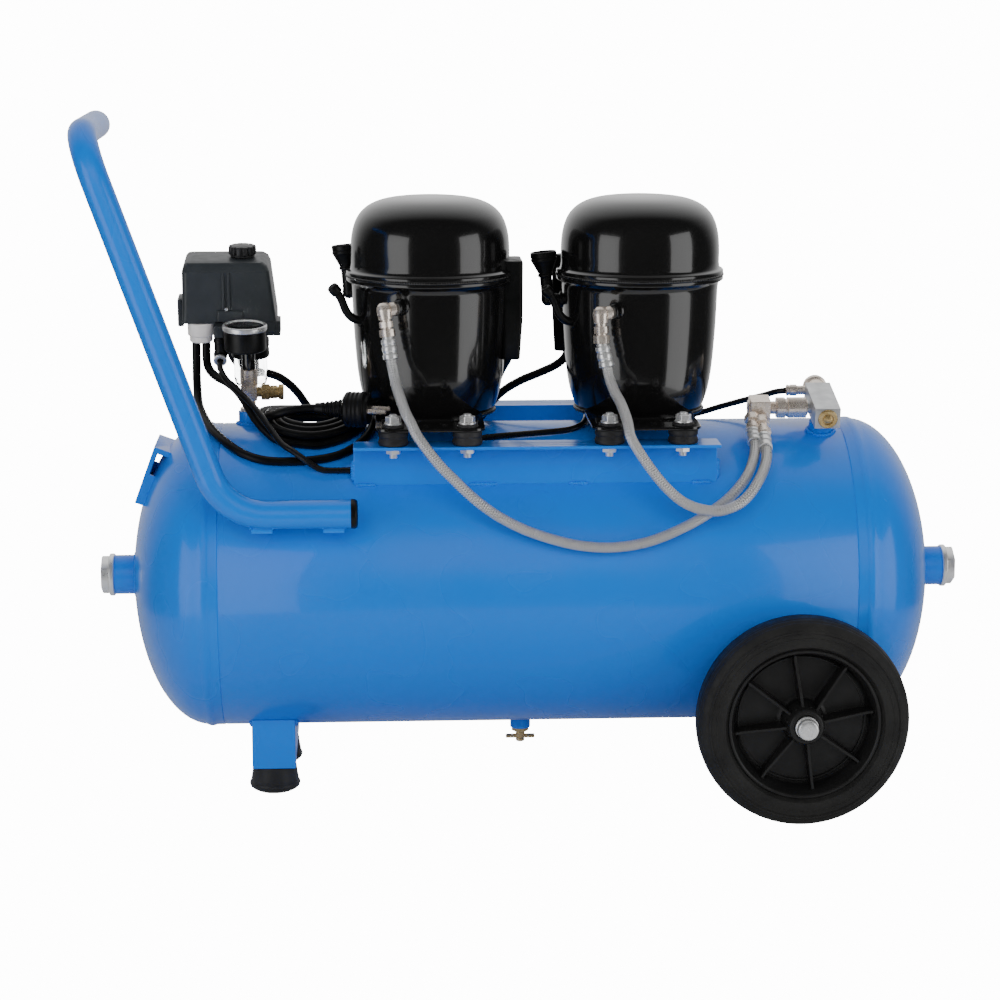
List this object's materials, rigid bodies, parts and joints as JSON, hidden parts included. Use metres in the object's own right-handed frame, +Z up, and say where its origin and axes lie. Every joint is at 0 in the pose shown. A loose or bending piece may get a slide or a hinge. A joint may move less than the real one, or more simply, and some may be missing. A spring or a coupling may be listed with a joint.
{
  "type": "mobile air compressor",
  "caption": "Wheeled horizontal air tank with side-by-side hermetic compressor motors, braided discharge hoses, pressure switch, gauge, filter and a one-sided push handle.",
  "frame": {"origin": "on the floor, midway along the tank and its fittings and on the centre plane", "axes": "+X along the tank towards the wheels, +Y to the rear, away from the handle side, +Z up"},
  "size_m": [0.861, 0.438, 0.6668],
  "materials": {
    "blue_paint": "gloss",
    "zinc_steel": "satin",
    "black_rubber": "matte",
    "tyre_rubber": "matte",
    "rim_plastic": "satin",
    "brass": "satin",
    "black_enamel": "gloss",
    "black_plastic": "satin",
    "stator_winding": "satin",
    "rotor_steel": "satin",
    "cast_iron": "rough",
    "nickel": "polished",
    "alloy": "satin",
    "braid": "satin",
    "black_tube": "gloss",
    "lens": "clear",
    "needle_red": "gloss",
    "switch_grey": "satin",
    "knob_black": "satin",
    "gland_grey": "satin",
    "cable_black": "satin"
  },
  "bodies": {
    "frame": {"tank_barrel": "blue_paint", "tank_heads": "blue_paint", "tank_sockets": "blue_paint", "end_plugs": "zinc_steel", "data_plate_bracket": "blue_paint", "motor_rails": "blue_paint", "handle_tube": "blue_paint", "handle_end_cap": "black_rubber", "foot_bracket": "blue_paint", "rubber_feet": "black_rubber", "axle_bracket": "blue_paint", "wheel_axles": "zinc_steel", "axle_caps": "zinc_steel", "drain_body": "brass", "motor_lower_shell_left": "black_enamel", "motor_lower_shell_right": "black_enamel", "motor_upper_shell_left": "black_enamel", "motor_upper_shell_right": "black_enamel", "motor_bases": "black_enamel", "motor_grommets": "black_rubber", "motor_bolts": "zinc_steel", "terminal_covers": "black_plastic", "intake_filters": "black_plastic", "process_tubes": "black_enamel", "stators": "stator_winding", "pump_blocks": "cast_iron", "pistons": "rotor_steel", "suspension_springs": "rotor_steel", "discharge_elbows": "nickel", "hose_fittings": "zinc_steel", "hose_left": "braid", "hose_right": "braid", "manifold_tee": "nickel", "check_valve": "nickel", "manifold_bar": "alloy", "air_fittings": "alloy", "unloader_tube": "black_tube", "riser_manifold": "nickel", "gauge_case": "black_plastic", "gauge_lens": "lens", "switch_base": "switch_grey", "switch_cover": "switch_grey", "cable_glands": "gland_grey", "filter_head": "black_plastic", "filter_bowl": "lens", "outlet_coupling": "brass", "motor_cables": "cable_black", "mains_cord": "cable_black", "mains_coil": "cable_black", "mains_plug": "black_plastic"},
    "front_wheel": {"wheel_rim_front": "rim_plastic", "tyre_front": "tyre_rubber"},
    "rear_wheel": {"wheel_rim_rear": "rim_plastic", "tyre_rear": "tyre_rubber"},
    "drain_tap": {"drain_screw": "brass"},
    "left_rotor": {"rotor_left": "rotor_steel"},
    "right_rotor": {"rotor_right": "rotor_steel"},
    "knob": {"switch_knob": "knob_black"},
    "needle": {"gauge_needle": "needle_red"},
    "poppet": {"check_valve_poppet": "brass"}
  },
  "joints": [
    {"name": "front_wheel_spin", "type": "hinge", "parent": "frame", "child": "front_wheel", "pos_m": [0.2515, 0, 0.1015], "axis": [0, 1, 0], "continuous": true},
    {"name": "rear_wheel_spin", "type": "hinge", "parent": "frame", "child": "rear_wheel", "pos_m": [0.2515, 0, 0.1015], "axis": [0, 1, 0], "continuous": true},
    {"name": "drain_turn", "type": "hinge", "parent": "frame", "child": "drain_tap", "pos_m": [-0.0065, 0, 0.0363], "axis": [0, 0, 1], "range_deg": [0, 360]},
    {"name": "left_rotor_spin", "type": "hinge", "parent": "frame", "child": "left_rotor", "pos_m": [-0.0955, 0, 0.409], "axis": [0, 0, 1], "continuous": true},
    {"name": "right_rotor_spin", "type": "hinge", "parent": "frame", "child": "right_rotor", "pos_m": [0.1105, 0, 0.409], "axis": [0, 0, 1], "continuous": true},
    {"name": "knob_turn", "type": "hinge", "parent": "frame", "child": "knob", "pos_m": [-0.2805, 0.04933, 0.52344], "axis": [0, -0.1045, 0.9945], "range_deg": [-90, 0]},
    {"name": "needle_sweep", "type": "hinge", "parent": "frame", "child": "needle", "pos_m": [-0.2775, 0.00164, 0.45106], "axis": [0, -0.1045, 0.9945], "range_deg": [-270, 0]},
    {"name": "poppet_slide", "type": "slide", "parent": "frame", "child": "poppet", "axis": [1, 0, 0], "range_m": [0, 0.004], "stiffness_N_per_m": 60}
  ]
}
